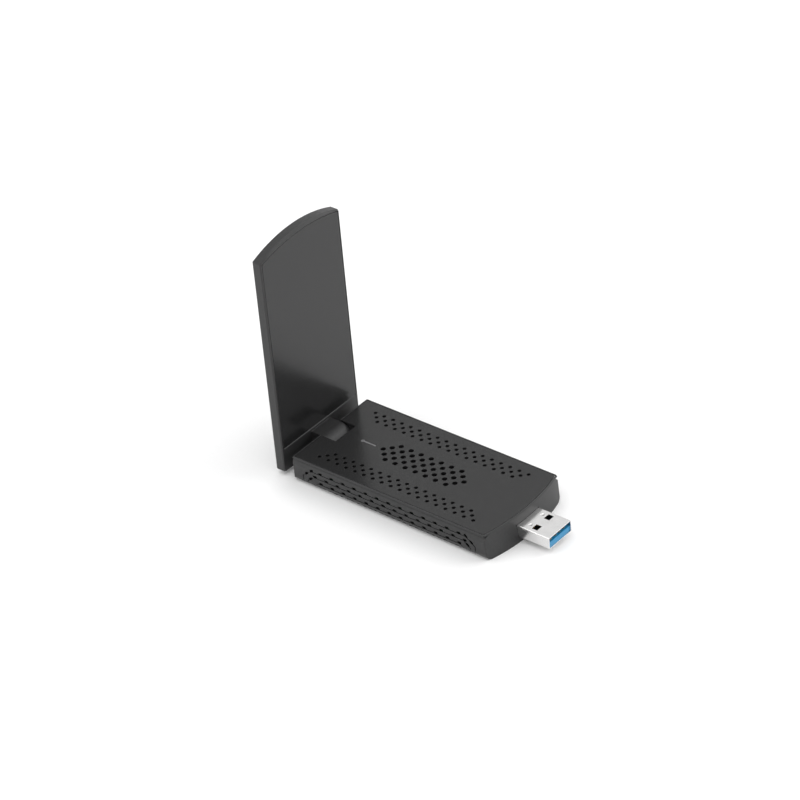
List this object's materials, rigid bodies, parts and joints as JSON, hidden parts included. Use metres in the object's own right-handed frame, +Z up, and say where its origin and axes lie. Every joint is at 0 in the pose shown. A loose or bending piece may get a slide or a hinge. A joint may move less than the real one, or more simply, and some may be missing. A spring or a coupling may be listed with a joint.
{
  "type": "usb wifi adapter",
  "caption": "Flat USB wireless network adapter with a vented black housing, a metal-shelled USB plug and a panel antenna that folds up on a rear hinge.",
  "frame": {"origin": "middle of the housing's flat base", "axes": "+X from the hinge towards the USB plug, +Y across the housing, +Z up from the base"},
  "size_m": [0.1048, 0.04, 0.089],
  "materials": {
    "black_plastic": "fine matt moulded texture",
    "cover_plastic": "fine satin moulded texture",
    "plug_steel": "bright nickel-plated sheet",
    "blue_plastic": "moulded insulator",
    "gold_contact": "gold-plated",
    "clear_guide": "frosted clear plastic",
    "board_green": "solder mask",
    "chip_black": "moulded package",
    "ferrite_grey": "ferrite",
    "tin_metal": "tinned",
    "capacitor_tan": "sintered ceramic",
    "led_white": "clear resin",
    "pad_grey": "soft silicone pad",
    "sink_aluminium": "black anodised aluminium",
    "coax_jacket": "thin jacket",
    "hinge_steel": "ground",
    "screw_black": "black zinc",
    "copper": "printed copper"
  },
  "bodies": {
    "housing": {"bottom_shell": "black_plastic", "top_cover": "cover_plastic", "usb_shell": "plug_steel", "usb_tongue": "blue_plastic", "usb2_contacts": "gold_contact", "usb3_contacts": "gold_contact", "contact_tails": "tin_metal", "main_board": "board_green", "wifi_chip": "chip_black", "flash_chip": "chip_black", "crystal": "tin_metal", "regulator": "chip_black", "power_inductor": "ferrite_grey", "rf_amplifiers": "chip_black", "capacitors": "capacitor_tan", "rf_filters": "capacitor_tan", "shield_frame": "tin_metal", "shield_lid": "tin_metal", "thermal_pads": "pad_grey", "heat_sink": "sink_aluminium", "status_led": "led_white", "light_guide": "clear_guide", "housing_coax": "coax_jacket", "coax_sockets": "gold_contact", "coax_plugs": "tin_metal", "hinge_sleeve": "hinge_steel", "hinge_pin": "hinge_steel", "friction_washers": "hinge_steel", "case_screws": "screw_black", "board_screws": "hinge_steel"},
    "antenna": {"antenna_outer_cover": "black_plastic", "antenna_inner_cover": "cover_plastic", "antenna_board": "board_green", "antenna_radiators": "copper", "antenna_coax": "coax_jacket", "solder_joints": "tin_metal"}
  },
  "joints": [
    {"name": "antenna_hinge", "type": "hinge", "parent": "housing", "child": "antenna", "pos_m": [-0.0403, 0, 0.0051], "axis": [0, 1, 0], "range_deg": [0, 90]}
  ]
}
